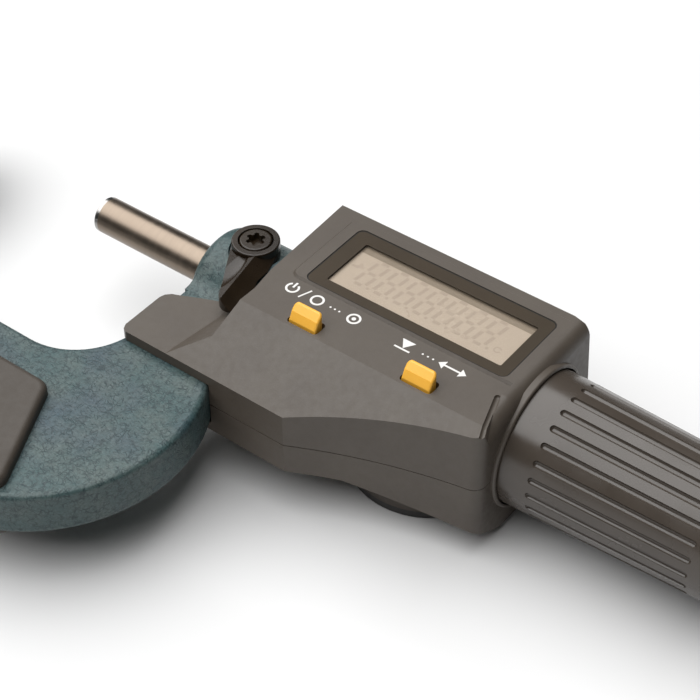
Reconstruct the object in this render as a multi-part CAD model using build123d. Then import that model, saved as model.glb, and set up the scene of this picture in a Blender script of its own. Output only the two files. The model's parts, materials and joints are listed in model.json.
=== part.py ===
from build123d import *
import os
from math import atan, cos, degrees, radians, sin, sqrt, tan

# A digital outside micrometer for 25 to 50 mm, lying on its back.
# Origin: centre of the anvil's measuring face.  +X: along the spindle towards the thimble.
# +Z: out of the display.  -Y: into the throat of the frame.  All sizes in millimetres.

# ---- measuring line
OPENING = 30.0                 # gap between the measuring faces as modelled
SPINDLE_R = 3.25
TIP_T = 0.8                    # thickness of each carbide tip
BORE_CLEAR = 0.03              # radial clearance of a running fit
TRAVEL_OUT = 20.0              # travel of the spindle away from the anvil
TRAVEL_IN = 5.0                # and towards it
KEY_X0 = 79.4                  # the key that turns the encoder with the spindle
KEY_X1 = 81.5
KEY_HALF = 0.46

# ---- frame
FRAME_HALF = 4.0               # half the thickness of the cast bow
FRAME_ROUND = 0.9
THROAT_LEFT = -5.0
THROAT_RIGHT = 57.0
THROAT_DEPTH = 33.4
THROAT_R = 11.8
BOW_R = 26.4
BOW_X = 51.8
BOW_Y = -38.2
MIDDLE_X = (THROAT_LEFT + THROAT_RIGHT) / 2
ARM_LEFT = -19.8
ARM_LEAN = 170                 # where the left arm leaves the round of the bow, in degrees
ARM_RIGHT = 70.5
ANVIL_BOSS_R = 7.6
BOSS_R = 8.8
BOSS_LEFT = 54.1
BOSS_RIGHT = 71.3
ROOT_R = 4.0                   # cove between the boss and the arm
BOSS_BORE_X = 57.5             # where the guide sleeve starts inside the boss
PLATE_T = 2.0                  # grip plates on both faces of the bow
PLATE_INSET = 0.9
PLATE_TOP_Y = -40.3
PLATE_LOW_Y = -61.4
PLATE_TOP_X = 56.0
PLATE_LOW_X = 66.0

# ---- housing
END_X = 118.6                  # end face that the thimble enters
FAR_Y = 16.2                   # far wall at the parting line
FAR_TOP_Y = 14.8               # far wall at the top and at the back
NEAR_Y = -24.9
END_NEAR_Y = -15.1
LEFT_X = 56.6
CORNER_X = 89.3                # where the near wall starts to sweep inwards
BLOCK_X = 70.4                 # left wall of the deep part
PLATE_Z = 5.95                 # top of the low plate over the frame
BAND_Z = 12.1                  # button band
PAD_Z = 12.5                   # raised panel round the display
APRON_Y = -13.4                # crease between the button band and the sloping apron
BACK_Z = -14.5
BACK_PLATE_Z = -5.8
BACK_SLOPE_Y0 = -21.1
BACK_SLOPE_Y1 = -7.1
WALL = 1.3
THIMBLE_BORE_R = 11.6
COLLAR_R = 12.15               # raised ring round the thimble's opening
COLLAR_X = 119.3
RIM_W = 2.4                    # rounding of the rim along the end face
RIM_DROP_Y = -6.6              # where the rim starts to fall away towards the near corner
RIM_LEAN = 13.0                # how steeply it falls, in degrees
GROOVE = ((115.8, -7.2), (118.4, -15.2))   # from the pad's near corner to the near wall
GROOVE_R = 0.5                 # groove between the rim and the band
SEAM = 0.14                    # shadow gap where the two shells meet
FRAME_GAP = 0.1

# ---- display
WINDOW = (77.05, 114.55, -3.48, 11.29)
WINDOW_Z0 = 11.85
WINDOW_Z1 = 12.42
MASK_Z0 = 11.75
VIEW = (79.34, 111.93, -0.99, 9.75)
LCD = (78.6, 112.3, -1.6, 10.4)
LCD_Z0 = 10.1
LCD_Z1 = 11.2
BOARD_Z0 = 7.5
BOARD_Z1 = 8.4
BOARD = (75.9, 112.0, -13.3, 10.3)

# ---- buttons
BUTTON_XS = (83.4, 104.7)
BUTTON_Y = -11.4
BUTTON_W = 5.2
BUTTON_D = 2.3
BUTTON_TOP = 14.7
BUTTON_GAP = 0.3
BUTTON_LOW = 9.3               # underside, above the snap dome

# ---- lock
LOCK_X = 63.8
LOCK_Y = 0.3
LOCK_FLAT = 7.9                # spot face on the boss
RING_R = 4.0
RING_TOP = 11.0
LEVER_TIP = (68.5, -11.3)
LEVER_TIP_R = 2.2
RIDGE_TOP = (66.0, -1.5, 11.0)
RIDGE_END = (67.5, -12.5, 10.0)
SCOOP_AT = 5.4                 # middle of the thumb hollow, along the ridge
RING_LOW = 8.2
LEVER_CLEAR = 8.75             # underside of the arm where it passes over the boss
LEVER_LOW = 7.9                # and at its tip

# ---- battery
CELL_X = 100.4
CELL_Y = -1.9
CELL_R = 10.0
CELL_T = 3.2
CELL_Z = -13.3
CAP_R = 13.2
CAP_LOW = -15.2
CAP_SEAT = -13.6
COLLAR_TOP = -9.4

# ---- sleeve and thread
SLEEVE_R = 5.5
INNER_R = 7.0
STEM_R = 8.0
STEM_X0 = 112.4
STEM_X1 = 137.8
SLEEVE_END = 143.5
CUP_R = 9.7
CUP_X0 = 73.3
CUP_FLOOR = 73.9
CUP_X1 = 84.5
THREAD_R = 3.4
THREAD_X0 = 108.0

# ---- thimble
THIMBLE_X0 = 118.0
THIMBLE_X1 = 154.4
THIMBLE_R0 = 11.36
THIMBLE_R1 = 10.3
CORE_R = 9.4
SLOTS = 24
SLOT_X0 = 124.1
SLOT_X1 = 151.0
SLOT_R = 0.6                   # ball-ended grooves
SLOT_DEPTH = 0.5

# ---- ratchet
KNOB_X0 = 155.2
KNOB_X1 = 172.4
KNOB_R0 = 8.5
KNOB_R1 = 7.9
KNOB_BORE = 6.6
RATCHET_TEETH = 12


# ---------------------------------------------------------------- shape helpers
def rod(radius, x0, x1):
    """A cylinder about the spindle axis."""
    return Pos((x0 + x1) / 2, 0, 0) * Rot(0, 90, 0) * Cylinder(radius, x1 - x0)


def tube(outer, inner, x0, x1):
    return rod(outer, x0, x1) - rod(inner, x0, x1)


def cone(r0, r1, x0, x1):
    """A solid cone about the spindle axis, r0 at x0 and r1 at x1."""
    return Pos((x0 + x1) / 2, 0, 0) * Rot(0, 90, 0) * Cone(r0, r1, x1 - x0)


def post(radius, x, y, z0, z1):
    """An upright cylinder."""
    return Pos(x, y, (z0 + z1) / 2) * Cylinder(radius, z1 - z0)


def block(x0, x1, y0, y1, z0, z1):
    return Pos((x0 + x1) / 2, (y0 + y1) / 2, (z0 + z1) / 2) * Box(x1 - x0, y1 - y0, z1 - z0)


def pad(box, z0, z1, radius):
    """A flat plate with rounded corners in plan; box is x0, x1, y0, y1."""
    x0, x1, y0, y1 = box
    outline = RectangleRounded(x1 - x0, y1 - y0, radius)
    return extrude(Pos((x0 + x1) / 2, (y0 + y1) / 2, z0) * outline, z1 - z0)


def grown(box, by):
    return (box[0] - by, box[1] + by, box[2] - by, box[3] + by)


def plan_prism(points, z0, z1):
    return extrude(Pos(0, 0, z0) * make_face(Polyline(*points, close=True)), z1 - z0)


def cross_prism(points, x0, x1):
    """A prism along X; each point is (y, z)."""
    outline = Plane.YZ.offset(x0) * make_face(Polyline(*points, close=True))
    return extrude(outline, x1 - x0)


def side_prism(points, y0, y1):
    """A prism along Y; each point is (x, z)."""
    outline = Plane.XZ.offset(-y1) * make_face(Polyline(*points, close=True))
    return extrude(outline, y1 - y0)


def rounded(solid, edges, radius):
    return fillet(edges, radius) if len(edges) else solid


def level(solid, z):
    """The edges that lie at one height."""
    return solid.edges().filter_by_position(Axis.Z, z - 0.01, z + 0.01)


def uprights(solid):
    return solid.edges().filter_by(Axis.Z)


# ---------------------------------------------------------------- frame and measuring faces
def bow_outline(inset=0.0):
    right = Pos(BOW_X, BOW_Y) * Circle(BOW_R - inset)
    left = Pos(2 * MIDDLE_X - BOW_X, BOW_Y) * Circle(BOW_R - inset)
    width = 2 * (BOW_X - MIDDLE_X)
    low = BOW_Y - BOW_R + inset
    belly = Pos(MIDDLE_X, (low + BOW_Y + 16) / 2) * Rectangle(width, BOW_Y + 16 - low)
    return right + left + belly


def throat_outline():
    low = THROAT_R - THROAT_DEPTH
    gap = Pos(MIDDLE_X, low + 30) * Rectangle(THROAT_RIGHT - THROAT_LEFT, 60)
    floor_w = THROAT_RIGHT - THROAT_LEFT - 2 * THROAT_R
    floor = Pos(MIDDLE_X, low - THROAT_R / 2) * Rectangle(floor_w, THROAT_R)
    right = Pos(THROAT_RIGHT - THROAT_R, low) * Circle(THROAT_R)
    left = Pos(THROAT_LEFT + THROAT_R, low) * Circle(THROAT_R)
    return gap + floor + right + left


def frame_outline(grow=0.0):
    right_arm = Pos((THROAT_RIGHT + ARM_RIGHT) / 2, -16) * Rectangle(ARM_RIGHT - THROAT_RIGHT, 44)
    root_x = 2 * MIDDLE_X - BOW_X + BOW_R * cos(radians(ARM_LEAN))
    root_y = BOW_Y + BOW_R * sin(radians(ARM_LEAN))
    left_arm = make_face(Polyline((root_x, root_y), (ARM_LEFT, -3), (ARM_LEFT, 0), (THROAT_LEFT, 0),
                                  (THROAT_LEFT, root_y), close=True))
    return bow_outline(-grow) + right_arm + left_arm - throat_outline()


def spindle_boss():
    """The boss round the spindle, with a rounded nose."""
    nose = Spline((BOSS_LEFT, 0, 3.4), (54.6, 0, 4.9), (55.3, 0, 6.5), (56.2, 0, 7.9), (57.6, 0, BOSS_R),
                  tangents=[(0.2, 0, 1), (1, 0, 0.12)])
    rest = Polyline((57.6, 0, BOSS_R), (BOSS_RIGHT, 0, BOSS_R), (BOSS_RIGHT, 0, 0), (BOSS_LEFT, 0, 0),
                    (BOSS_LEFT, 0, 3.4))
    return revolve(make_face([nose, rest]), Axis.X)


def boss_root(side):
    """The cove where the boss meets one flat face of the arm; side is 1 for the front, -1 for the back."""
    centre_z = FRAME_HALF + ROOT_R
    centre_y = -sqrt((BOSS_R + ROOT_R) ** 2 - centre_z ** 2)
    on_boss = BOSS_R / (BOSS_R + ROOT_R)
    corner = (-FRAME_HALF, side * (FRAME_HALF - 0.5))
    wedge = make_face(Polyline(corner, (centre_y * on_boss, side * centre_z * on_boss),
                               (centre_y, side * centre_z), (centre_y, side * FRAME_HALF),
                               (centre_y, side * (FRAME_HALF - 0.5)), close=True))
    round_cut = Pos(centre_y, side * centre_z) * Circle(ROOT_R)
    return extrude(Plane.YZ.offset(THROAT_RIGHT) * (wedge - round_cut), ARM_RIGHT - THROAT_RIGHT)


def frame():
    bow = extrude(Pos(0, 0, -FRAME_HALF) * frame_outline(), 2 * FRAME_HALF)
    bow = rounded(bow, level(bow, FRAME_HALF) + level(bow, -FRAME_HALF), FRAME_ROUND)
    anvil_boss = rod(ANVIL_BOSS_R, ARM_LEFT, THROAT_LEFT)
    anvil_boss = rounded(anvil_boss, anvil_boss.edges().sort_by(Axis.X)[:1], 2.5)
    anvil_boss = rounded(anvil_boss, anvil_boss.edges().sort_by(Axis.X)[-1:], 1.2)
    body = bow + spindle_boss()
    body += boss_root(1) + boss_root(-1) + anvil_boss
    body -= rod(SPINDLE_R, -17, THROAT_LEFT + 1)
    body -= rod(SPINDLE_R + 0.05, BOSS_LEFT - 1, BOSS_BORE_X + 0.1)
    body -= rod(SLEEVE_R, BOSS_BORE_X, BOSS_RIGHT + 1)
    body -= post(4.6, LOCK_X, LOCK_Y, LOCK_FLAT, 12)
    body -= post(1.5, LOCK_X, LOCK_Y, 4, 12)
    return body - post(0.8, 62.5, -19.5, -5, 2)


def anvil():
    return rod(SPINDLE_R, -17, -TIP_T)


def anvil_tip():
    tip = rod(SPINDLE_R, -TIP_T, 0)
    return chamfer(tip.edges().sort_by(Axis.X)[-1:], 0.15)


def grip_plate(z0, z1, outer_z):
    """An insulating plate; outer_z is its free face."""
    right_low = (PLATE_LOW_X, PLATE_LOW_Y)
    right_top = (PLATE_TOP_X, PLATE_TOP_Y)
    left_top = (2 * MIDDLE_X - PLATE_TOP_X, PLATE_TOP_Y)
    left_low = (2 * MIDDLE_X - PLATE_LOW_X, PLATE_LOW_Y)
    wedge = make_face(Polyline(right_low, right_top, left_top, left_low, close=True))
    plate = extrude(Pos(0, 0, z0) * (wedge & bow_outline(PLATE_INSET)), z1 - z0)
    plate = rounded(plate, uprights(plate), 2.6)
    return rounded(plate, level(plate, outer_z), 1.1)


# ---------------------------------------------------------------- housing
def housing_plan(z0, z1):
    """The housing's outline, which both shells share."""
    corners = [
        (END_X, END_NEAR_Y),
        (END_X, FAR_Y),
        (BLOCK_X, FAR_Y),
        (BLOCK_X + 1.0, -8.6),
        (69.0, -8.9),
        (62.0, -11.8),
        (59.1, -13.2),
        (57.7, -13.8),
        (56.9, -14.6),
        (LEFT_X, -15.6),
        (LEFT_X - 0.2, -17.6),
        (LEFT_X - 0.2, -21.2),
        (LEFT_X, -23.6),
        (LEFT_X + 0.4, -24.5),
        (LEFT_X + 1.1, NEAR_Y),
        (CORNER_X, NEAR_Y),
    ]
    sweep = ThreePointArc(corners[-1], (100.8, -19.85), corners[0])
    return extrude(Pos(0, 0, z0) * make_face([Polyline(*corners), sweep]), z1 - z0)


def cavity_plan(z0, z1):
    corners = [
        (END_X - WALL, END_NEAR_Y + WALL),
        (END_X - WALL, FAR_Y - WALL),
        (BLOCK_X + 1.8, FAR_Y - WALL),
        (BLOCK_X + 1.8, -8.5),
        (75.0, -9.5),
        (76.6, NEAR_Y + WALL),
        (CORNER_X - 0.3, NEAR_Y + WALL),
    ]
    sweep = ThreePointArc(corners[-1], (100.3, -18.0), corners[0])
    return extrude(Pos(0, 0, z0) * make_face([Polyline(*corners), sweep]), z1 - z0)


def frame_space():
    """The room that both shells leave for the frame's arm and boss."""
    room = FRAME_HALF + FRAME_GAP
    arm = extrude(Pos(0, 0, -room) * frame_outline(FRAME_GAP), 2 * room)
    throat_side = block(50, THROAT_RIGHT + 1, -34, -8, -room, room)
    inner = block(60, ARM_RIGHT + 0.4, -20, 10, -room, room)
    roots = block(56, BLOCK_X, -10.2, 0, -4.6, 4.6)
    boss = rod(BOSS_R + FRAME_GAP, 50, CUP_X0) + rod(CUP_R + FRAME_GAP, CUP_X0 - 0.1, CUP_X1 + 2.2)
    return arm + throat_side + inner + boss + roots


def foot_cutter():
    """Clears the low plate, with a slanting foot where the deep part rises from it."""
    base = [(50, -30), (65.8, -30), (66.2, -23), (67.3, -14), (67.6, -10), (67.6, 20), (50, 20)]
    top = [(50, -30), (70.4, -30), (71.0, -23), (71.9, -14), (72.0, -10), (67.6, 20), (50, 20)]
    waist = 8.75
    low = make_face(Polyline(*base, close=True))
    high = make_face(Polyline(*top, close=True))
    foot = loft([Pos(0, 0, PLATE_Z) * low, Pos(0, 0, waist) * high], ruled=True)
    return foot + extrude(Pos(0, 0, waist) * high, 6)


def near_corner(body):
    """Rounds the upright edge where the near wall meets the end face."""
    near = uprights(body).filter_by_position(Axis.X, END_X - 0.01, END_X + 0.01).sort_by(Axis.Y)[:1]
    return rounded(body, near, 2.2)


def front_block():
    section = [(FAR_Y, 0), (FAR_TOP_Y, BAND_Z), (APRON_Y, BAND_Z), (NEAR_Y, PLATE_Z), (NEAR_Y, 0)]
    body = near_corner(housing_plan(0, 14) & cross_prism(section, LEFT_X, END_X))
    panel = plan_prism([(74.3, -4.1), (END_X, -4.1), (END_X, 13.4), (74.3, 13.4)], BAND_Z - 0.2, PAD_Z)
    left_uprights = uprights(panel).sort_by(Axis.X)[:2]
    panel = rounded(panel, left_uprights, 1.6)
    soft = [e for e in level(panel, PAD_Z) if (e @ 0.5).X < END_X - 1 and (e @ 0.5).Y < 13]
    panel = chamfer(soft, PAD_Z - BAND_Z - 0.02)
    rim_end_y = RIM_DROP_Y - (PAD_Z - BAND_Z) / tan(radians(RIM_LEAN))
    rim_section = [(14.2, 11), (14.2, PAD_Z), (RIM_DROP_Y, PAD_Z), (rim_end_y, BAND_Z), (rim_end_y, 11)]
    rim = cross_prism(rim_section, END_X - RIM_W, END_X) & housing_plan(0, 14)
    body = body + panel + rim
    body -= rim_cutter(RIM_DROP_Y, 30)
    drop = Pos(0, RIM_DROP_Y, PAD_Z) * Rot(RIM_LEAN, 0, 0) * Pos(0, 0, -PAD_Z) * rim_cutter(-20, 4)
    return body - (drop & rim_step()) - rim_groove()


def rim_cutter(y0, y1):
    """What a rounding of the top edge takes off the end face, between y0 and y1."""
    start = (END_X - RIM_W, PAD_Z)
    middle = (END_X - 0.29 * RIM_W, PAD_Z - 0.29 * RIM_W)
    end = (END_X, PAD_Z - RIM_W)
    round_edge = ThreePointArc(start, middle, end)
    rest = Polyline(end, (END_X + 2, PAD_Z - RIM_W), (END_X + 2, PAD_Z + 3), (END_X - RIM_W - 1.5, PAD_Z + 3),
                    (END_X - RIM_W - 1.5, PAD_Z), start)
    return extrude(Plane.XZ.offset(-y1) * make_face([round_edge, rest]), y1 - y0)


def rim_step():
    """Where the rim drops below the button band and the apron, behind a slanting step."""
    (x0, y0), (x1, y1) = GROOVE
    lean = (x1 - x0) / (y1 - y0)
    top_y = RIM_DROP_Y + 2.4
    low_y = y1 - 1.5
    plan = [(x0 + lean * (top_y - y0), top_y), (x0 + lean * (low_y - y0), low_y), (130, low_y), (130, top_y)]
    wedge = make_face(Polyline(*plan, close=True))
    return extrude(Pos(0, 0, BAND_Z + 0.4) * wedge, -5, taper=12)


def rim_groove():
    """The groove along the foot of that step, over the band and down the apron."""
    (x0, y0), (x1, y1) = GROOVE
    bend_x = x0 + (x1 - x0) * (APRON_Y - y0) / (y1 - y0)
    low_z = BAND_Z - (BAND_Z - PLATE_Z) * (APRON_Y - y1) / (APRON_Y - NEAR_Y)
    start = Vector(x0, y0, BAND_Z)
    bend = Vector(bend_x, APRON_Y, BAND_Z)
    end = Vector(x1, y1, low_z)
    return channel(start, bend) + channel(bend, end)


def channel(start, end):
    """A round-bottomed channel between two points, rounded at its start."""
    path = end - start
    straight = Plane(origin=start + path / 2, z_dir=path) * Cylinder(GROOVE_R, path.length)
    return straight + Pos(start.X, start.Y, start.Z) * Sphere(GROOVE_R)


def far_corner(body, draft):
    """Cuts the far end corner, leaning as the far wall does."""
    far = [(END_X - 3.6, 3), (END_X - 3.6, 0.1), (END_X + 1, -1.0), (END_X + 1, 3)]
    return body - Pos(0, FAR_Y, 0) * Rot(draft, 0, 0) * plan_prism(far, -20, 20)


def collar():
    """The raised ring round the opening that the thimble enters."""
    ring = rod(COLLAR_R, END_X - 0.5, COLLAR_X)
    ring = rounded(ring, ring.edges().sort_by(Axis.X)[-1:], 0.35)
    return ring - rod(THIMBLE_BORE_R, END_X - 1, COLLAR_X + 1)


def seam():
    """A shallow step under the front shell, which shows as a dark line round the walls."""
    outline = housing_plan(-SEAM, 0)
    core = extrude(offset(outline.faces().sort_by(Axis.Z)[0], -0.5), 2 * SEAM + 1, both=True)
    return outline - core


SHELL_SCREWS = ((76.0, 12.4), (109.0, 12.4), (85.0, -19.4))
BOARD_SCREWS = ((93.3, -12.6), (110.0, -11.4))
FRAME_SCREW = (62.5, -19.5)


def front_housing():
    body = far_corner(front_block() - foot_cutter(), 6.6)
    section = [(FAR_Y - 1.5, -1), (FAR_TOP_Y - 1.5, 10.9), (APRON_Y + 0.6, 10.9), (NEAR_Y + 0.7, 4.75),
               (NEAR_Y + 0.7, -1)]
    body -= cavity_plan(-1, 11) & cross_prism(section, LEFT_X, END_X)
    body -= frame_space()
    body -= pad(grown(WINDOW, 0.22), MASK_Z0, 14, 1.32)
    body -= pad(grown(LCD, 0.15), 9, 14, 0.5)
    for x in BUTTON_XS:
        opening = (x - BUTTON_W / 2, x + BUTTON_W / 2, BUTTON_Y - BUTTON_D / 2, BUTTON_Y + BUTTON_D / 2)
        body -= pad(grown(opening, BUTTON_GAP), 8, 14, 0.7)
    body += collar() & block(110, 125, -20, 20, 0, 20)
    for x, y in SHELL_SCREWS:
        top = 11.2 if y > 0 else 7.6
        body += post(1.9, x, y, 0, top) - post(0.8, x, y, -1, top - 1.5)
    for x, y in BOARD_SCREWS:
        body += post(1.2, x, y, BOARD_Z1, 11.2) - post(0.55, x, y, 8, 10.6)
    return body - rod(THIMBLE_BORE_R, STEM_X0, END_X + 2)


def back_cover():
    section = [(FAR_Y, 0), (FAR_TOP_Y, BACK_Z), (BACK_SLOPE_Y1, BACK_Z), (BACK_SLOPE_Y0, BACK_PLATE_Z),
               (NEAR_Y, BACK_PLATE_Z), (NEAR_Y, 0)]
    body = housing_plan(-16, 0) & cross_prism(section, LEFT_X, END_X)
    body -= block(50, BLOCK_X + 0.6, -30, 20, -16, BACK_PLATE_Z)
    bevel = [(END_X - 1.7, BACK_Z), (END_X + 1, BACK_Z + 1.27), (END_X + 1, -16), (END_X - 1.7, -16)]
    body = far_corner(near_corner(body) - side_prism(bevel, -30, 30), -5.5) - seam()
    body += collar() & block(110, 125, -20, 20, -20, 0)
    body += post(CAP_R, CELL_X, CELL_Y, CAP_SEAT, COLLAR_TOP)
    inner = [(FAR_Y - 1.5, 1), (FAR_TOP_Y - 1.5, -13.1), (BACK_SLOPE_Y1 + 0.5, -13.1),
             (BACK_SLOPE_Y0 + 0.6, -4.5), (NEAR_Y + 0.7, -4.5), (NEAR_Y + 0.7, 1)]
    hollow = cavity_plan(-14, 1) & cross_prism(inner, LEFT_X, END_X)
    body -= hollow - post(CAP_R, CELL_X, CELL_Y, -16, COLLAR_TOP)
    body -= frame_space()
    body -= post(CAP_R + 0.1, CELL_X, CELL_Y, -17, CAP_SEAT)
    body -= post(CELL_R + 0.9, CELL_X, CELL_Y, -17, 0)
    for x, y in SHELL_SCREWS:
        head = BACK_Z + 2.6 if y > 0 else BACK_PLATE_Z - 0.8
        body += post(2.6, x, y, head, 0) & post(2.6, x, y, BACK_Z + 0.6, 0)
        body -= post(1.1, x, y, -17, 1)
        body -= post(1.9, x, y, -17, head)
    body -= post(1.1, *FRAME_SCREW, -17, 1)
    body -= post(1.7, *FRAME_SCREW, -17, BACK_PLATE_Z + 0.8)
    return body - rod(THIMBLE_BORE_R, STEM_X0, END_X + 2)


def screw(x, y, seat, length, head_r, head_h, shank_r, up=1):
    """A cross-recessed screw; up is the direction that its shank points."""
    shank = post(shank_r, x, y, min(seat, seat + up * length), max(seat, seat + up * length))
    head = post(head_r, x, y, min(seat, seat - up * head_h), max(seat, seat - up * head_h))
    top = seat - up * head_h
    low, high = min(top, top + up * 0.5), max(top, top + up * 0.5)
    slot = block(x - head_r * 0.6, x + head_r * 0.6, y - 0.2, y + 0.2, low, high)
    cross = block(x - 0.2, x + 0.2, y - head_r * 0.6, y + head_r * 0.6, low, high)
    return head + shank - slot - cross


def housing_screws():
    parts = []
    for x, y in SHELL_SCREWS:
        seat = BACK_Z + 2.6 if y > 0 else BACK_PLATE_Z - 0.8
        parts.append(screw(x, y, seat, 6.0 - seat, 1.8, 1.3, 0.8))
    parts.append(screw(*FRAME_SCREW, BACK_PLATE_Z + 0.8, 6.8, 1.6, 0.75, 0.8))
    return Compound(children=parts)


# ---------------------------------------------------------------- display and electronics
def display_window():
    return pad(WINDOW, WINDOW_Z0, WINDOW_Z1, 1.1)


def window_mask():
    return pad(WINDOW, MASK_Z0, WINDOW_Z0, 1.1) - pad(VIEW, MASK_Z0 - 1, WINDOW_Z0 + 1, 0.3)


def lcd_panel():
    return pad(LCD, LCD_Z0, LCD_Z1, 0.3)


def lcd_reflector():
    return pad(grown(LCD, -1.7), LCD_Z0 - 0.25, LCD_Z0, 0.3)


def connector_strips():
    x0, x1, y0, y1 = LCD
    near = block(87.5, 111, y0 + 0.1, y0 + 1.5, BOARD_Z1, LCD_Z0)
    far = block(87.5, 111, y1 - 1.5, y1 - 0.1, BOARD_Z1, LCD_Z0)
    return Compound(children=[near, far])


def circuit_board():
    board = pad(BOARD, BOARD_Z0, BOARD_Z1, 0.6)
    board -= block(74, CUP_X1 + 2.3, -6.7, 6.7, 7, 9)
    for x, y in BOARD_SCREWS:
        board -= post(0.65, x, y, 7, 9)
    for x, y in SHELL_SCREWS:
        board -= post(2.1, x, y, 7, 9)
    return board


def board_screws():
    parts = [screw(x, y, BOARD_Z0, 2.9, 1.1, 0.6, 0.55) for x, y in BOARD_SCREWS]
    return Compound(children=parts)


def processor_chip():
    return block(92, 99, 7.6, 10.0, BOARD_Z0 - 1.0, BOARD_Z0)


def crystal():
    body = block(97.5, 102.5, -12.4, -11.2, BOARD_Z0 - 1.2, BOARD_Z0)
    return rounded(body, uprights(body), 0.5)


def snap_domes():
    domes = []
    for x in BUTTON_XS:
        disc = post(2.0, x, BUTTON_Y, BOARD_Z1, BOARD_Z1 + 0.3)
        domes.append(rounded(disc, level(disc, BOARD_Z1 + 0.3), 0.2))
    return Compound(children=domes)


def button(x):
    """A button with a ridge along it and a flange that keeps it in the housing."""
    half_w = BUTTON_W / 2
    y0 = BUTTON_Y - BUTTON_D / 2
    y1 = BUTTON_Y + BUTTON_D / 2
    profile = [(y0, BUTTON_LOW), (y1, BUTTON_LOW), (y1, BUTTON_TOP - 0.1), (y1 - 0.5, BUTTON_TOP),
               (y0 + 0.75, BUTTON_TOP - 1.1), (y0 + 0.08, BAND_Z + 0.2)]
    stem = cross_prism(profile, x - half_w, x + half_w)
    stem = rounded(stem, uprights(stem), 0.8)
    crown = stem.faces().filter_by_position(Axis.Z, 12.9, 15).edges()
    stem = rounded(stem, crown, 0.35)
    flange = pad((x - half_w - 0.7, x + half_w + 0.7, y0 - 0.6, y1 + 0.6), BUTTON_LOW, 10.2, 0.9)
    return stem + flange


# ---------------------------------------------------------------- encoder
def encoder_stator():
    return tube(9.0, 5.6, 77.0, 77.6)


def stator_ring():
    """Carries the stator inside the guide sleeve's cup."""
    return tube(9.1, 7.6, CUP_FLOOR, 77.0)


def encoder_rotor():
    return tube(8.6, 5.0, 78.0, 79.2)


def rotor_bush():
    hub = tube(5.0, SPINDLE_R + BORE_CLEAR, 76.5, 81.5) + tube(6.4, 4.9, 79.2, 80.0)
    return hub + block(KEY_X0, KEY_X1, -KEY_HALF, KEY_HALF, 2.7, 4.0)


def thrust_ring():
    return tube(5.0, 3.8, CUP_FLOOR, 76.45)


def rotor_spring():
    """A wave washer, drawn as three thin rings on a spacer."""
    rings = tube(5.2, 4.4, 81.5, CUP_X1 - 0.1)
    for x in (81.9, 82.7, 83.5):
        rings += tube(6.6, 4.4, x, x + 0.3)
    return rings


# ---------------------------------------------------------------- sleeves and thread
def guide_sleeve():
    spigot = rod(SLEEVE_R, BOSS_BORE_X, BOSS_RIGHT + 0.1)
    flange = rod(BOSS_R, BOSS_RIGHT, CUP_X0 + 0.1)
    cup = rod(CUP_R, CUP_X0, CUP_X1) - rod(9.1, CUP_FLOOR, CUP_X1 + 1)
    body = spigot + flange + cup - rod(SPINDLE_R + BORE_CLEAR, 50, CUP_FLOOR + 1)
    return body - post(1.5, LOCK_X, LOCK_Y, 2, 6)


def inner_sleeve():
    body = rod(CUP_R, CUP_X1, CUP_X1 + 2) + rod(INNER_R, CUP_X1, 137.9) + rod(6.2, 137.8, SLEEVE_END)
    body -= rod(SPINDLE_R + 0.5, CUP_X1 - 1, 128)
    body -= rod(THREAD_R + BORE_CLEAR, 127, SLEEVE_END + 1)
    for turn in (0, 120, 240):
        body -= Rot(turn, 0, 0) * block(130, SLEEVE_END + 1, -0.25, 0.25, 2, 8)
    return body


def outer_sleeve():
    return tube(STEM_R, INNER_R, STEM_X0, STEM_X1)


def adjusting_nut():
    nut = tube(7.9, 6.2, 138.4, 142.6)
    for turn in range(0, 360, 90):
        nut -= Rot(turn, 0, 0) * block(141.2, 143, -0.8, 0.8, 6.8, 9)
    return nut


# ---------------------------------------------------------------- spindle and thimble
def spindle():
    x0 = OPENING + TIP_T
    shaft = rod(SPINDLE_R, x0, THREAD_X0 + 1) + rod(THREAD_R, THREAD_X0, 149.5)
    seat = cone(4.6, 3.4, 149.5, 153.0) + rod(3.0, 152.9, 155.2)
    key_room = KEY_HALF + 0.04
    keyway = block(KEY_X0 - TRAVEL_OUT - 0.2, KEY_X1 + TRAVEL_IN + 0.2, -key_room, key_room, 2.55, 4)
    return shaft + seat - keyway - rod(1.6, 146, 156)


def spindle_tip():
    tip = rod(SPINDLE_R, OPENING, OPENING + TIP_T)
    return chamfer(tip.edges().sort_by(Axis.X)[:1], 0.15)


def thimble_core():
    shell = tube(CORE_R, 8.3, 119.4, 149.6) + rod(CORE_R, 149.5, 153.0)
    return shell - cone(4.6, 3.4, 149.5, 153.0) - rod(3.3, 148, 154)


def thimble_nut():
    nut = tube(6.4, 3.0, 153.0, 154.9)
    for turn in (0, 90):
        nut -= Rot(turn, 0, 0) * block(154.2, 156, -0.5, 0.5, 4.2, 7)
        nut -= Rot(turn + 180, 0, 0) * block(154.2, 156, -0.5, 0.5, 4.2, 7)
    return nut


def groove():
    """A ball-ended cutter along the top of the thimble, sunk by SLOT_DEPTH and leaning with its taper."""
    drop = (THIMBLE_R0 - THIMBLE_R1) / (THIMBLE_X1 - THIMBLE_X0)
    middle = (SLOT_X0 + SLOT_X1) / 2
    surface = THIMBLE_R0 - drop * (middle - THIMBLE_X0)
    length = SLOT_X1 - SLOT_X0 - 2 * SLOT_R
    cutter = rod(SLOT_R, -length / 2, length / 2) + Pos(-length / 2, 0, 0) * Sphere(SLOT_R)
    cutter += Pos(length / 2, 0, 0) * Sphere(SLOT_R)
    lean = degrees(atan(drop))
    return Pos(middle, 0, surface + SLOT_R - SLOT_DEPTH) * Rot(0, lean, 0) * cutter


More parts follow.
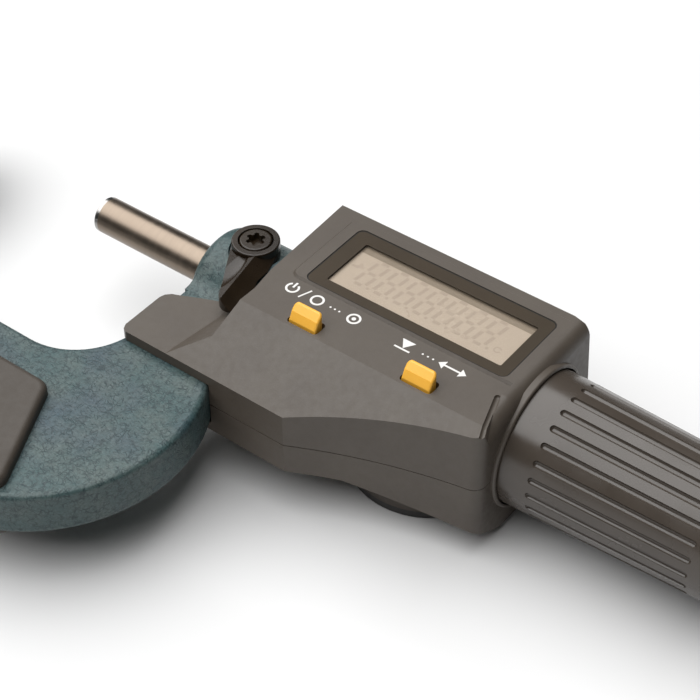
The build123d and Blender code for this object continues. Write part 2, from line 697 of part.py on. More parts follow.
def thimble_sleeve():
    body = cone(THIMBLE_R0, THIMBLE_R1, THIMBLE_X0, THIMBLE_X1)
    body = rounded(body, body.edges().sort_by(Axis.X)[-1:], 1.2)
    body = rounded(body, body.edges().sort_by(Axis.X)[:1], 0.6)
    body -= rod(CORE_R, 119, 153.0)
    body -= rod(8.6, 117, 120)
    body -= rod(6.8, 152, 156)
    cutter = groove()
    for n in range(SLOTS):
        body -= Rot(360 / SLOTS * n, 0, 0) * cutter
    return body


# ---------------------------------------------------------------- ratchet
def crown(x0, x1, teeth_x, facing):
    """A toothed disc; its teeth stand from teeth_x towards facing."""
    disc = tube(6.2, 2.1, x0, x1)
    for n in range(RATCHET_TEETH):
        tooth = block(0, 0.55, -0.55, 0.55, 3.4, 6.0)
        if facing < 0:
            tooth = Pos(-0.55, 0, 0) * tooth
        disc += Rot(360 / RATCHET_TEETH * n, 0, 0) * Pos(teeth_x, 0, 0) * tooth
    return disc


def ratchet_driven_disc():
    return crown(155.2, 158.0, 158.0, 1)


def ratchet_drive_disc():
    return crown(159.4, 162.0, 159.4, -1)


def ratchet_spring():
    turns = Helix(pitch=1.5, height=6.4, radius=4.6)
    wire = Plane(origin=turns @ 0, z_dir=turns % 0) * Circle(0.35)
    coil = sweep(wire, path=turns, is_frenet=True)
    return Pos(162.5, 0, 0) * Rot(0, 90, 0) * coil


def ratchet_screw():
    body = rod(1.6, 146.5, 172.5) + rod(1.9, 155.3, 172.5) + rod(3.4, 172.5, 174.3)
    body = rounded(body, body.edges().sort_by(Axis.X)[-1:], 0.6)
    return body - block(173.5, 175, -4, 4, -0.4, 0.4)


def ratchet_knob():
    body = cone(KNOB_R0, KNOB_R1, KNOB_X0, KNOB_X1)
    body = rounded(body, body.edges().sort_by(Axis.X)[-1:], 1.4)
    body = rounded(body, body.edges().sort_by(Axis.X)[:1], 0.5)
    body -= rod(KNOB_BORE, KNOB_X0 - 1, 170.0)
    body -= rod(2.0, 169, 174)
    for n in range(18):
        cut = extrude(Pos(163.5, 0, 7.75) * SlotOverall(11.5, 1.3), 3)
        body -= Rot(20 * n, 0, 0) * cut
    return body


# ---------------------------------------------------------------- lock
def lever_plan():
    tip_x, tip_y = LEVER_TIP
    ring = Pos(LOCK_X, LOCK_Y) * Circle(RING_R)
    tip = Pos(tip_x, tip_y) * Circle(LEVER_TIP_R)
    return make_hull(ring.edges() + tip.edges())


def lock_lever():
    """A ring round the screw, and an arm with a hollowed thumb face and a steep back."""
    arm = extrude(Pos(0, 0, LEVER_LOW) * lever_plan(), RING_TOP - LEVER_LOW)
    ridge = Vector(*RIDGE_TOP)
    along = (Vector(*RIDGE_END) - ridge).normalized()
    across = Vector(-along.Y, along.X, 0).normalized()
    face = Plane(origin=ridge - along * 4, x_dir=across, z_dir=along)
    steep = make_face(Polyline((0, 0), (3.3, -2.8), (8, -2.8), (8, 4), (0, 4), close=True))
    gentle = make_face(Polyline((0.01, 0), (-5, -1.3), (-8, -1.3), (-8, 4), (0.01, 4), close=True))
    arm -= extrude(face * steep, 22) + extrude(face * gentle, 22)
    scoop = Plane(origin=ridge + along * SCOOP_AT - across * 2.1, x_dir=across, z_dir=along)
    arm -= scoop * Pos(0, -0.3, 0) * scale(Sphere(1), by=(1.8, 0.75, 4.6))
    out = Vector(along.X, along.Y, 0).normalized()
    belly = Plane(origin=Vector(LOCK_X, LOCK_Y, 0) + across * 8, x_dir=out, z_dir=-across)
    under = make_face(Polyline((-6, 7), (-6, LEVER_CLEAR), (6.4, LEVER_CLEAR), (9.5, LEVER_LOW), (9.5, 7),
                               close=True))
    arm -= extrude(belly * under, 16)
    body = arm + post(RING_R, LOCK_X, LOCK_Y, RING_LOW, RING_TOP)
    body = rounded(body, level(body, RING_TOP), 0.25)
    body -= post(2.95, LOCK_X, LOCK_Y, 9.2, 12)
    return body - post(1.6, LOCK_X, LOCK_Y, 7, 12)


def lock_screw():
    head = post(2.7, LOCK_X, LOCK_Y, 9.2, RING_TOP + 0.1)
    head = rounded(head, level(head, RING_TOP + 0.1), 0.3)
    star = post(1.15, LOCK_X, LOCK_Y, 9.9, 12)
    for n in range(6):
        a = radians(60 * n)
        star += post(0.42, LOCK_X + 1.25 * cos(a), LOCK_Y + 1.25 * sin(a), 9.9, 12)
    return head + post(1.45, LOCK_X, LOCK_Y, 5.7, 9.3) - star


def lock_washer():
    return post(3.4, LOCK_X, LOCK_Y, LOCK_FLAT, 8.15) - post(1.7, LOCK_X, LOCK_Y, 7, 9)


def lock_plug():
    return post(1.45, LOCK_X, LOCK_Y, 3.9, 5.6)


# ---------------------------------------------------------------- battery
def battery():
    cell = post(CELL_R, CELL_X, CELL_Y, CELL_Z, CELL_Z + CELL_T)
    return rounded(cell, level(cell, CELL_Z), 0.4)


def battery_holder():
    cup = post(CELL_R + 0.85, CELL_X, CELL_Y, -12.8, COLLAR_TOP)
    cup -= post(CELL_R + 0.2, CELL_X, CELL_Y, -13, -9.85)
    return cup - rod(THIMBLE_BORE_R, STEM_X0 - 0.5, END_X)


def negative_contact():
    plate = post(4.0, CELL_X, CELL_Y, CELL_Z + CELL_T, -9.85)
    return plate - post(1.6, CELL_X, CELL_Y, -11, -9)


def positive_contact():
    ring = post(CELL_R + 0.18, CELL_X, CELL_Y, -12.6, -10.4) - post(CELL_R + 0.02, CELL_X, CELL_Y, -13, -10)
    return ring - block(CELL_X - 12, CELL_X + 7, -20, 15, -14, -9)


def battery_cap():
    body = post(CAP_R, CELL_X, CELL_Y, CAP_LOW, CAP_SEAT - 0.02)
    body = rounded(body, level(body, CAP_LOW), 0.5)
    body += post(CELL_R + 0.7, CELL_X, CELL_Y, CAP_SEAT - 0.1, CELL_Z - 0.05)
    body -= post(12.5, CELL_X, CELL_Y, -14.4, -13) - post(11.5, CELL_X, CELL_Y, -15, -12)
    return body - block(CELL_X - 7, CELL_X + 7, CELL_Y - 0.9, CELL_Y + 0.9, CAP_LOW - 1, CAP_LOW + 0.7)


def cap_seal():
    return Pos(CELL_X, CELL_Y, -14.01) * Torus(12.0, 0.37)


# ---------------------------------------------------------------- assembly
NODES = {
    "frame": frame,
    "anvil": anvil,
    "anvil_tip": anvil_tip,
    "front_grip_plate": lambda: grip_plate(FRAME_HALF, FRAME_HALF + PLATE_T, FRAME_HALF + PLATE_T),
    "rear_grip_plate": lambda: grip_plate(-FRAME_HALF - PLATE_T, -FRAME_HALF, -FRAME_HALF - PLATE_T),
    "front_housing": front_housing,
    "back_cover": back_cover,
    "housing_screws": housing_screws,
    "display_window": display_window,
    "window_mask": window_mask,
    "lcd_panel": lcd_panel,
    "lcd_reflector": lcd_reflector,
    "connector_strips": connector_strips,
    "circuit_board": circuit_board,
    "board_screws": board_screws,
    "processor_chip": processor_chip,
    "crystal": crystal,
    "snap_domes": snap_domes,
    "left_button": lambda: button(BUTTON_XS[0]),
    "right_button": lambda: button(BUTTON_XS[1]),
    "encoder_stator": encoder_stator,
    "stator_ring": stator_ring,
    "encoder_rotor": encoder_rotor,
    "rotor_bush": rotor_bush,
    "thrust_ring": thrust_ring,
    "rotor_spring": rotor_spring,
    "guide_sleeve": guide_sleeve,
    "inner_sleeve": inner_sleeve,
    "outer_sleeve": outer_sleeve,
    "adjusting_nut": adjusting_nut,
    "spindle": spindle,
    "spindle_tip": spindle_tip,
    "thimble_core": thimble_core,
    "thimble_nut": thimble_nut,
    "thimble_sleeve": thimble_sleeve,
    "ratchet_driven_disc": ratchet_driven_disc,
    "ratchet_drive_disc": ratchet_drive_disc,
    "ratchet_spring": ratchet_spring,
    "ratchet_screw": ratchet_screw,
    "ratchet_knob": ratchet_knob,
    "lock_lever": lock_lever,
    "lock_screw": lock_screw,
    "lock_washer": lock_washer,
    "lock_plug": lock_plug,
    "battery": battery,
    "battery_holder": battery_holder,
    "negative_contact": negative_contact,
    "positive_contact": positive_contact,
    "battery_cap": battery_cap,
    "cap_seal": cap_seal,
}


def main():
    os.makedirs("parts", exist_ok=True)
    for name, make in NODES.items():
        shape = make()
        if not isinstance(shape, Compound) or len(shape.solids()) == 1:
            shape = shape.solids()[0] if len(shape.solids()) == 1 else Compound(children=shape.solids())
        export_step(shape, f"parts/{name}.step")


main()
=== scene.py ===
import json
from collections import Counter
from math import cos, radians, sin

import bmesh
import bpy
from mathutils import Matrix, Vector


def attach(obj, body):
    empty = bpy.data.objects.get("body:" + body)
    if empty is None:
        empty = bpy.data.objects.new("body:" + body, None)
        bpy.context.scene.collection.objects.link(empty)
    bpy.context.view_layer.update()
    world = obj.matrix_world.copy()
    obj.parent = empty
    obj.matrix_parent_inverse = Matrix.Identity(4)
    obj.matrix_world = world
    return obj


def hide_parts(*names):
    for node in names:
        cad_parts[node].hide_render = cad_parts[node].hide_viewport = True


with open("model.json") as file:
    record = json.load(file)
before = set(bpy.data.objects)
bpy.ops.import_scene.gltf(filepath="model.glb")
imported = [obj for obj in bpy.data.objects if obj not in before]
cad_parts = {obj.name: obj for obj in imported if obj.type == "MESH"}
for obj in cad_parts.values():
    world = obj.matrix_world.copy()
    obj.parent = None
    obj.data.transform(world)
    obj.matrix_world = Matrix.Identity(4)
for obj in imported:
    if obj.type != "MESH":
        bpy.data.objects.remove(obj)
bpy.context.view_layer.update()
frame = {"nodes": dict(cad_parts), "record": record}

# The looks of a digital outside micrometer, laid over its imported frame.
# Everything is in the row frame, in metres; sizes below are written in millimetres and scaled by MM.
MM = 0.001
NODES = frame["nodes"]

# ---- camera
CAMERA_AT = (212.77, -171.08, 200.00)
CAMERA_AZIMUTH = 37.14
CAMERA_ELEVATION = 43.31
LENS = 93.47
SENSOR = 36.0

# ---- surroundings
FLOOR_Z = -15.2
FLOOR_HALF = 4000.0
BRIGHT_SIDE = (-0.30, -0.08, 0.95)
DOME_HIGH = 1.95               # strength of the dome straight towards its bright side
DOME_LOW = 0.62                # and away from it, from this cosine of the angle between on:
DOME_LOW_AT = -0.1
LAMP_WATTS = 29.0
LAMP_AWAY = 1.0                # metres
LAMP_SIDES = (1.8, 1.5)        # metres
LAMP_TARGET = (0.07, -0.02, 0.0)

# ---- display; boxes are x0, x1, y0, y1
WINDOW = (77.05, 114.55, -3.48, 11.29)
WINDOW_CORNER = 1.1
WINDOW_GAP = 0.19
# painted shade: a dark ring filling the gap round the window, in place of the shade in that gap
GAP_SHADE_Z = 11.78
GAP_SHADE_THICKNESS = 0.6
OPENING = (79.85, 112.6, -1.6, 8.85)
OPENING_CORNER = 0.3
MASK_Z = 12.3                  # the printed border, drawn just under the window's upper face
MASK_THICKNESS = 0.09
LCD = (78.6, 112.3, -1.6, 10.4)
# the part of the face left clear of the painted shade, which darkens the far and left margins under the border
LCD_UNSHADED = (79.8, 112.25, -1.55, 7.5)
LCD_Z = 11.76                  # the liquid crystal face, where it looks to lie through the window
LCD_THICKNESS = 0.06

# ---- digits on the display
DIGITS = 7
DIGIT_X = 83.0
DIGIT_Y = 0.9
DIGIT_PITCH = 3.75
DIGIT_WIDTH = 2.2
DIGIT_HEIGHT = 6.2
DIGIT_PEN = 0.62
DIGIT_LEAN = 0.14              # sideways shift for each millimetre of height
SEGMENT_GAP = 0.12
POINT_RADIUS = 0.28

# ---- marks above the buttons
BAND_Z = 12.1                  # button band of the front housing
INK = 0.01                     # thickness of one layer of ink
LEFT_MARK = (76.7, -6.3)
RIGHT_MARK = (98.5, -6.3)
RING = 1.0                     # radius of the round marks
PEN = 0.36
THIN_PEN = 0.28
DOT = 0.17


# ---------------------------------------------------------------- materials
class Paint:
    """A material being mixed: one Principled shader and the nodes that feed it."""

    def __init__(self, name, color, roughness, metallic=0.0, **fixed):
        self.material = bpy.data.materials.new(name)
        self.material.use_nodes = True
        self.tree = self.material.node_tree
        self.shader = self.tree.nodes["Principled BSDF"]
        self.set("Base Color", (*color, 1.0))
        self.set("Roughness", roughness)
        self.set("Metallic", metallic)
        for key, value in fixed.items():
            self.set(key.replace("_", " "), value)
        self.place = self.node("TexCoord").outputs["Object"]

    def set(self, key, value):
        """A fixed value or a link on the shader's own socket."""
        self.fill(self.shader.inputs[key], value)

    def fill(self, socket, value):
        if isinstance(value, bpy.types.NodeSocket):
            self.tree.links.new(value, socket)
        else:
            socket.default_value = value

    def node(self, kind, inputs=None, **settings):
        made = self.tree.nodes.new("ShaderNode" + kind)
        for key, value in settings.items():
            setattr(made, key, value)
        for key, value in (inputs or {}).items():
            self.fill(made.inputs[key], value)
        return made

    def noise(self, size, detail=3.0, rough=0.55, place=None):
        """Cloudy noise whose blotches are about size millimetres across."""
        values = {"Scale": 1 / (size * MM), "Detail": detail, "Roughness": rough,
                  "Vector": place or self.place}
        return self.node("TexNoise", values).outputs["Fac"]

    def warped(self, size, amount):
        """The place, pushed about by noise: blotches of size, moved up to amount, both in millimetres."""
        push = self.node("TexNoise", {"Scale": 1 / (size * MM), "Vector": self.place}).outputs["Color"]
        centred = self.node("VectorMath", {0: push, 1: (0.5, 0.5, 0.5)}, operation="SUBTRACT").outputs[0]
        scaled = self.node("VectorMath", {0: centred, "Scale": amount * MM}, operation="SCALE").outputs[0]
        return self.node("VectorMath", {0: self.place, 1: scaled}, operation="ADD").outputs[0]

    def cells(self, size, place=None, feature="DISTANCE_TO_EDGE"):
        """How far a point is from the edge of its cell, in cell sizes."""
        values = {"Scale": 1 / (size * MM), "Vector": place or self.place}
        return self.node("TexVoronoi", values, feature=feature).outputs["Distance"]

    def span(self, value, low, high, to_low=0.0, to_high=1.0):
        """Maps low..high to to_low..to_high, held at both ends."""
        inputs = {"Value": value, "From Min": low, "From Max": high, "To Min": to_low, "To Max": to_high}
        return self.node("MapRange", inputs).outputs["Result"]

    def math(self, operation, a, b):
        return self.node("Math", {0: a, 1: b}, operation=operation).outputs[0]

    def blend(self, share, a, b):
        """Colour a where share is 0 and colour b where it is 1."""
        made = self.node("Mix", data_type="RGBA")
        for index, value in ((0, share), (6, a), (7, b)):
            self.fill(made.inputs[index], (*value, 1.0) if isinstance(value, tuple) else value)
        return made.outputs[2]

    def bump(self, height, depth, strength=1.0):
        """Relief depth millimetres deep where height goes from 0 to 1."""
        below = self.shader.inputs["Normal"]
        values = {"Height": height, "Distance": depth * MM, "Strength": strength}
        if below.is_linked:
            values["Normal"] = below.links[0].from_socket
        self.set("Normal", self.node("Bump", values).outputs["Normal"])


def enamel():
    """Hammertone enamel: teal, with fine broken dark veins, pale specks and a softly uneven skin."""
    p = Paint("hammertone_enamel", (0.07, 0.10, 0.10), 0.42, Specular_IOR_Level=0.4)
    warped = p.warped(1.5, 1.2)
    coarse = p.span(p.cells(1.5, warped), 0.0, 0.10, 1.0, 0.0)
    fine = p.span(p.cells(0.85, warped), 0.0, 0.12, 0.85, 0.0)
    veins = p.math("MAXIMUM", coarse, fine)
    broken = p.math("MULTIPLY", veins, p.span(p.noise(0.9, 2), 0.40, 0.58, 0.1, 1.0))
    cloud = p.span(p.noise(6.0, 4), 0.35, 0.65)
    base = p.blend(cloud, (0.038, 0.074, 0.076), (0.066, 0.094, 0.090))
    blue = p.blend(p.span(p.noise(11.0, 2), 0.5, 0.72, 0.0, 0.65), base, (0.036, 0.058, 0.082))
    speck = p.blend(p.span(p.noise(0.32, 3), 0.3, 0.72), (0.55, 0.55, 0.55), (1.35, 1.35, 1.35))
    mixed = p.node("Mix", data_type="RGBA", blend_type="MULTIPLY")
    for index, value in ((0, 0.6), (6, blue), (7, speck)):
        p.fill(mixed.inputs[index], value)
    p.set("Base Color", p.blend(p.math("MULTIPLY", broken, 0.9), mixed.outputs[2], (0.008, 0.022, 0.026)))
    p.set("Roughness", p.span(p.noise(0.8, 3), 0.3, 0.7, 0.34, 0.52))
    p.bump(p.noise(1.6, 3), 0.09)
    p.bump(p.noise(0.4, 2), 0.02)
    p.bump(p.math("SUBTRACT", 1.0, broken), 0.025)
    return p.material


def moulded(name, dark, light, roughness, grain=0.28, depth=0.012, **fixed):
    """Moulded plastic with a fine spark-eroded grain and a faint cloudiness."""
    p = Paint(name, light, roughness, **fixed)
    p.set("Base Color", p.blend(p.span(p.noise(9.0, 5), 0.3, 0.7), dark, light))
    p.set("Roughness", p.span(p.noise(grain * 4, 3), 0.3, 0.7, roughness - 0.06, roughness + 0.06))
    p.bump(p.noise(grain, 2), depth)
    return p.material


def metal(name, color, roughness, lines, depth=0.003):
    """Worked metal: tool marks whose lengths along the three axes are lines, in millimetres."""
    p = Paint(name, color, roughness, 1.0)
    stretched = p.node("Mapping", {"Vector": p.place, "Scale": tuple(1 / (s * MM) for s in lines)})
    marks = p.node("TexNoise", {"Scale": 1.0, "Detail": 4.0, "Vector": stretched.outputs[0]}).outputs["Fac"]
    darker = tuple(c * 0.86 for c in color)
    p.set("Base Color", p.blend(p.span(marks, 0.3, 0.7), darker, color))
    p.set("Roughness", p.span(marks, 0.25, 0.75, roughness - 0.04, roughness + 0.06))
    p.bump(marks, depth)
    return p.material


def plastics():
    return [
        moulded("grip_plastic", (0.048, 0.040, 0.032), (0.058, 0.048, 0.039), 0.5, Specular_IOR_Level=0.35),
        moulded("housing_plastic", (0.062, 0.050, 0.0395), (0.073, 0.060, 0.047), 0.47,
                Specular_IOR_Level=0.45),
        moulded("cap_plastic", (0.020, 0.019, 0.018), (0.028, 0.026, 0.025), 0.45),
        moulded("thimble_plastic", (0.046, 0.037, 0.029), (0.056, 0.045, 0.036), 0.25, 1.5, 0.005,
                Specular_IOR_Level=0.55),
        moulded("amber_plastic", (0.80, 0.40, 0.040), (0.86, 0.45, 0.055), 0.32, 1.2, 0.004),
        moulded("white_plastic", (0.70, 0.70, 0.67), (0.80, 0.80, 0.78), 0.4),
        moulded("black_rubber", (0.018, 0.018, 0.018), (0.030, 0.030, 0.030), 0.7),
    ]


def electronics():
    return [
        moulded("board_green", (0.02, 0.12, 0.045), (0.03, 0.17, 0.065), 0.35),
        moulded("chip_black", (0.012, 0.012, 0.012), (0.022, 0.022, 0.022), 0.5),
    ]


def display_looks():
    return [
        window(),
        moulded("mask_ink", (0.040, 0.029, 0.018), (0.047, 0.034, 0.021), 0.4, Specular_IOR_Level=0.25),
        # near black for the painted shade in the gap round the window
        moulded("painted_gap_shade", (0.004, 0.004, 0.003), (0.006, 0.005, 0.004), 0.8),
        moulded("lcd", (0.53, 0.455, 0.39), (0.56, 0.485, 0.417), 0.3, 2.0, 0.001),
        # darker liquid crystal colour for the painted shade along the margins
        moulded("painted_lcd_shade", (0.29, 0.243, 0.195), (0.31, 0.262, 0.212), 0.35, 2.0, 0.001),
        moulded("ghost_ink", (0.455, 0.388, 0.333), (0.47, 0.402, 0.345), 0.35, 2.0, 0.001),
        moulded("white_ink", (0.62, 0.61, 0.59), (0.70, 0.69, 0.67), 0.5, 0.2, 0.002),
    ]


def metals():
    return [
        metal("ground_steel", (0.235, 0.19, 0.149), 0.33, (0.9, 9.0, 9.0), 0.0006),
        metal("carbide", (0.36, 0.35, 0.34), 0.22, (0.4, 0.4, 0.4), 0.001),
        moulded("dark_steel", (0.010, 0.006, 0.003), (0.022, 0.014, 0.007), 0.25, 1.4, 0.006,
                Specular_IOR_Level=0.4),
        metal("zinc_steel", (0.60, 0.60, 0.58), 0.32, (1.0, 0.1, 0.1)),
        metal("spring_steel", (0.55, 0.54, 0.52), 0.3, (0.6, 0.6, 0.6)),
        metal("core_aluminium", (0.80, 0.80, 0.79), 0.34, (0.12, 8.0, 8.0)),
        metal("satin_chrome", (0.72, 0.72, 0.71), 0.36, (0.5, 0.5, 0.5)),
        metal("brass", (0.78, 0.58, 0.26), 0.3, (0.3, 0.3, 0.3)),
    ]


def make_materials():
    """Every material by its name, which for a node's material is also its slot in the record.

    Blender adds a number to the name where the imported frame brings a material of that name, so it is cut off.
    """
    painted = plastics() + electronics() + display_looks() + metals()
    made = {material.name.split(".")[0]: material for material in painted}
    made["frame_enamel"] = enamel()
    return made


def window():
    """Clear acrylic: transparent, with a gloss of 4 % seen squarely that grows to all at grazing view."""
    p = Paint("window_clear", (0.97, 0.96, 0.94), 0.05)
    clear = p.node("BsdfTransparent", {"Color": (0.93, 0.92, 0.90, 1.0)})
    gloss = p.node("BsdfAnisotropic", {"Color": (1.0, 1.0, 1.0, 1.0), "Roughness": 0.05})
    facing = p.node("LayerWeight", {"Blend": 0.5}).outputs["Facing"]
    share = p.span(p.math("POWER", facing, 5.0), 0.0, 1.0, 0.04, 1.0)
    mix = p.node("MixShader", {0: share, 1: clear.outputs[0], 2: gloss.outputs[0]})
    p.tree.links.new(mix.outputs[0], p.tree.nodes["Material Output"].inputs["Surface"])
    p.tree.nodes.remove(p.shader)
    return p.material


def dress_nodes(materials):
    """Every CAD node wears the material of its slot in the record."""
    for part in frame["record"]["subparts"]:
        shape = NODES[part["node"]]
        shape.data.materials.clear()
        shape.data.materials.append(materials[part["material_slot"]])


# ---------------------------------------------------------------- printed marks
def ring_points(cx, cy, radius, start, end, steps):
    angles = [radians(start + (end - start) * i / steps) for i in range(steps + 1)]
    return [(cx + radius * cos(a), cy + radius * sin(a)) for a in angles]


def arc_band(cx, cy, radius, width, start=0, end=360, steps=40):
    """A bent stroke, as a row of four-cornered tiles."""
    outer = ring_points(cx, cy, radius + width / 2, start, end, steps)
    inner = ring_points(cx, cy, radius - width / 2, start, end, steps)
    return [[inner[i], outer[i], outer[i + 1], inner[i + 1]] for i in range(steps)]


def stroke(x0, y0, x1, y1, width):
    """A straight stroke with square ends."""
    run = Vector((x1 - x0, y1 - y0)).normalized() * width / 2
    side = Vector((-run.y, run.x))
    return [[(x0 - side.x, y0 - side.y), (x1 - side.x, y1 - side.y), (x1 + side.x, y1 + side.y),
             (x0 + side.x, y0 + side.y)]]


def disc(cx, cy, radius, steps=20):
    return [ring_points(cx, cy, radius, 0, 360 - 360 / steps, steps - 1)]


def rounded_loop(box, radius, steps=8):
    """The outline of a rectangle with rounded corners; box is x0, x1, y0, y1."""
    x0, x1, y0, y1 = box
    corners = [(x1 - radius, y1 - radius, 0), (x0 + radius, y1 - radius, 90),
               (x0 + radius, y0 + radius, 180), (x1 - radius, y0 + radius, 270)]
    return [p for cx, cy, turn in corners for p in ring_points(cx, cy, radius, turn, turn + 90, steps)]


def border(outer, inner):
    """The tiles between two outlines that have as many points."""
    count = len(outer)
    return [[inner[i], outer[i], outer[(i + 1) % count], inner[(i + 1) % count]] for i in range(count)]


def spot(point):
    """A point rounded off, so that the same corner of two tiles compares as equal."""
    return (round(point[0], 4), round(point[1], 4))


def printed(name, tiles, z, thickness, material):
    """A thin flat layer: each tile is a plate standing on z, with walls where no other tile touches."""
    def side(tile, i):
        return frozenset((spot(tile[i - 1]), spot(tile[i])))

    uses = Counter(side(tile, i) for tile in tiles for i in range(len(tile)))
    made = bmesh.new()
    for tile in tiles:
        low = [made.verts.new((x * MM, y * MM, z * MM)) for x, y in tile]
        high = [made.verts.new((x * MM, y * MM, (z + thickness) * MM)) for x, y in tile]
        made.faces.new(list(reversed(low)))
        made.faces.new(high)
        for i in range(len(tile)):
            if uses[side(tile, i)] == 1:
                made.faces.new((low[i - 1], low[i], high[i], high[i - 1]))
    bmesh.ops.remove_doubles(made, verts=made.verts, dist=1e-7)
    bmesh.ops.recalc_face_normals(made, faces=made.faces)
    mesh = bpy.data.meshes.new(name)
    made.to_mesh(mesh)
    made.free()
    mesh.materials.append(material)
    piece = bpy.data.objects.new(name, mesh)
    bpy.context.scene.collection.objects.link(piece)
    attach(piece, "root")
    return piece


def dots(x, y, gap=0.85):
    return [tile for i in range(3) for tile in disc(x + i * gap, y, DOT)]


def left_mark(x, y):
    """Power and a ring with a slash between, three dots and an origin mark."""
    power = arc_band(x, y, RING, PEN, 125, 415) + stroke(x, y + 0.1, x, y + 1.35, PEN)
    slash = stroke(x + 2.0, y - 1.15, x + 2.9, y + 1.25, THIN_PEN)
    ring = arc_band(x + 4.9, y, RING, PEN)
    origin = arc_band(x + 12.0, y, RING, PEN) + disc(x + 12.0, y, PEN)
    return power + slash + ring + dots(x + 7.5, y) + origin


def right_mark(x, y):
    """A datum triangle on its line, three dots and an exchange arrow."""
    datum = [[(x - 1.2, y + 1.1), (x, y - 0.75), (x + 1.2, y + 1.1)]]
    datum += stroke(x - 1.4, y - 0.98, x + 1.4, y - 0.98, 0.32)
    arrow = [[(x + 6.1, y), (x + 7.2, y - 0.9), (x + 7.2, y + 0.9)]]
    arrow += stroke(x + 7.2, y, x + 10.0, y, 0.34)
    arrow += [[(x + 11.1, y), (x + 10.0, y + 0.9), (x + 10.0, y - 0.9)]]
    return datum + dots(x + 3.2, y, 0.95) + arrow


def digit(x, y):
    """The seven unlit segments of one leaning digit whose lower left corner is x, y."""
    end = DIGIT_PEN / 2 + SEGMENT_GAP
    half = DIGIT_HEIGHT / 2
    tiles = []
    for rise in (0.0, half, DIGIT_HEIGHT):
        left = x + rise * DIGIT_LEAN
        tiles += stroke(left + end, y + rise, left + DIGIT_WIDTH - end, y + rise, DIGIT_PEN)
    for foot in (x, x + DIGIT_WIDTH):
        for low in (0.0, half):
            start = low + end
            stop = low + half - end
            x0 = foot + start * DIGIT_LEAN
            x1 = foot + stop * DIGIT_LEAN
            tiles += stroke(x0, y + start, x1, y + stop, DIGIT_PEN)
    return tiles


def window_border(ink, gap_shade_paint):
    """The printed border of the display, flat on both faces, and a painted shade: a dark ring filling the gap
    round the window.
    """
    outline = rounded_loop(WINDOW, WINDOW_CORNER)
    opening = rounded_loop(OPENING, OPENING_CORNER)
    piece = printed("window_border", border(outline, opening), MASK_Z, MASK_THICKNESS, ink)
    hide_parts("window_mask")
    x0, x1, y0, y1 = WINDOW
    grown = (x0 - WINDOW_GAP, x1 + WINDOW_GAP, y0 - WINDOW_GAP, y1 + WINDOW_GAP)
    around = rounded_loop(grown, WINDOW_CORNER + WINDOW_GAP)
    # painted shade: a dark ring filling the gap round the window
    printed("window_gap_shade", border(around, outline), GAP_SHADE_Z, GAP_SHADE_THICKNESS, gap_shade_paint)


def rectangle(box):
    x0, x1, y0, y1 = box
    return [(x1, y1), (x0, y1), (x0, y0), (x1, y0)]


def lcd_face(materials):
    """The liquid crystal face, a painted shade along its far and left margins, and the segments that are not
    lit.
    """
    printed("lcd_face", [rectangle(LCD)], LCD_Z, LCD_THICKNESS, materials["lcd"])
    top = LCD_Z + LCD_THICKNESS
    # painted shade: a darker strip along the far and left margins, where the border above shades the face
    printed("lcd_painted_shade", border(rectangle(LCD), rectangle(LCD_UNSHADED)), top, INK, materials["painted_lcd_shade"])
    tiles = []
    for n in range(DIGITS):
        x = DIGIT_X + DIGIT_PITCH * n
        tiles += digit(x, DIGIT_Y)
        tiles += disc(x + DIGIT_WIDTH + 0.75, DIGIT_Y - 0.05, POINT_RADIUS)
    middle = DIGIT_Y + 3.2
    minus = stroke(DIGIT_X - 2.4, middle, DIGIT_X - 1.1, middle, 0.5)
    unit = arc_band(DIGIT_X + 27.0, DIGIT_Y + 0.6, 0.55, 0.22, 20, 340)
    printed("unlit_segments", tiles + minus + unit, top, INK, materials["ghost_ink"])


def button_marks(ink):
    printed("left_button_mark", left_mark(*LEFT_MARK), BAND_Z, 2 * INK, ink)
    printed("right_button_mark", right_mark(*RIGHT_MARK), BAND_Z, 2 * INK, ink)


# ---------------------------------------------------------------- surroundings
def make_camera():
    azimuth = radians(CAMERA_AZIMUTH)
    elevation = radians(CAMERA_ELEVATION)
    back = Vector((sin(azimuth) * cos(elevation), -cos(azimuth) * cos(elevation), sin(elevation)))
    data = bpy.data.cameras.new("camera")
    data.lens = LENS
    data.sensor_width = SENSOR
    data.clip_start = 0.01
    data.clip_end = 50.0
    camera = bpy.data.objects.new("camera", data)
    camera.location = Vector(CAMERA_AT) * MM
    camera.rotation_mode = "QUATERNION"
    camera.rotation_quaternion = (-back).to_track_quat("-Z", "Y")
    bpy.context.scene.collection.objects.link(camera)
    bpy.context.scene.camera = camera


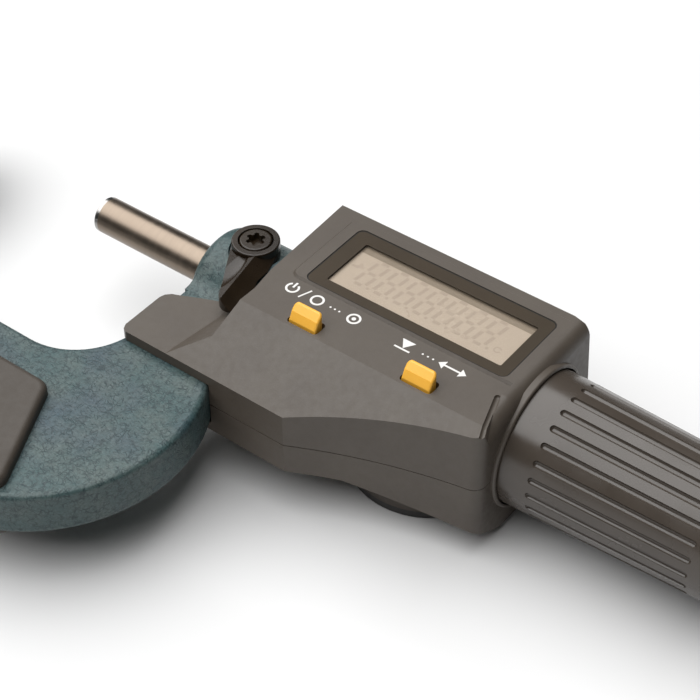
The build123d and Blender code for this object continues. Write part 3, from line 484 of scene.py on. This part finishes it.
def make_floor():
    half = FLOOR_HALF * MM
    z = FLOOR_Z * MM
    mesh = bpy.data.meshes.new("floor")
    corners = [(-half, -half, z), (half, -half, z), (half, half, z), (-half, half, z)]
    mesh.from_pydata(corners, [], [(0, 1, 2, 3)])
    floor = bpy.data.objects.new("floor", mesh)
    bpy.context.scene.collection.objects.link(floor)
    paint = Paint("floor_paper", (0.7, 0.7, 0.7), 0.9)
    cloud = paint.noise(60.0, 2)
    paint.set("Base Color", paint.blend(cloud, (0.68, 0.68, 0.68), (0.72, 0.72, 0.72)))
    mesh.materials.append(paint.material)


def make_dome():
    """A soft dome, brightest high over the far side and dim towards the near horizon."""
    world = bpy.data.worlds.new("studio")
    world.use_nodes = True
    tree = world.node_tree
    place = tree.nodes.new("ShaderNodeTexCoord")
    towards = tree.nodes.new("ShaderNodeVectorMath")
    towards.operation = "DOT_PRODUCT"
    towards.inputs[1].default_value = Vector(BRIGHT_SIDE).normalized()
    level = tree.nodes.new("ShaderNodeMapRange")
    level.inputs["From Min"].default_value = DOME_LOW_AT
    level.inputs["From Max"].default_value = 1.0
    level.inputs["To Min"].default_value = DOME_LOW
    level.inputs["To Max"].default_value = DOME_HIGH
    tree.links.new(place.outputs["Generated"], towards.inputs[0])
    tree.links.new(towards.outputs["Value"], level.inputs["Value"])
    tree.links.new(level.outputs["Result"], tree.nodes["Background"].inputs["Strength"])
    bpy.context.scene.world = world


def make_lamp():
    """One large lamp on the dome's bright side."""
    data = bpy.data.lights.new("overhead", "AREA")
    data.shape = "RECTANGLE"
    data.size, data.size_y = LAMP_SIDES
    data.energy = LAMP_WATTS
    lamp = bpy.data.objects.new("overhead", data)
    target = Vector(LAMP_TARGET)
    lamp.location = target + Vector(BRIGHT_SIDE).normalized() * LAMP_AWAY
    lamp.rotation_mode = "QUATERNION"
    lamp.rotation_quaternion = (target - lamp.location).to_track_quat("-Z", "Y")
    bpy.context.scene.collection.objects.link(lamp)


looks = make_materials()
dress_nodes(looks)
window_border(looks["mask_ink"], looks["painted_gap_shade"])
lcd_face(looks)
button_marks(looks["white_ink"])
make_camera()
make_floor()
make_dome()
make_lamp()
bpy.context.scene.view_settings.view_transform = "Standard"
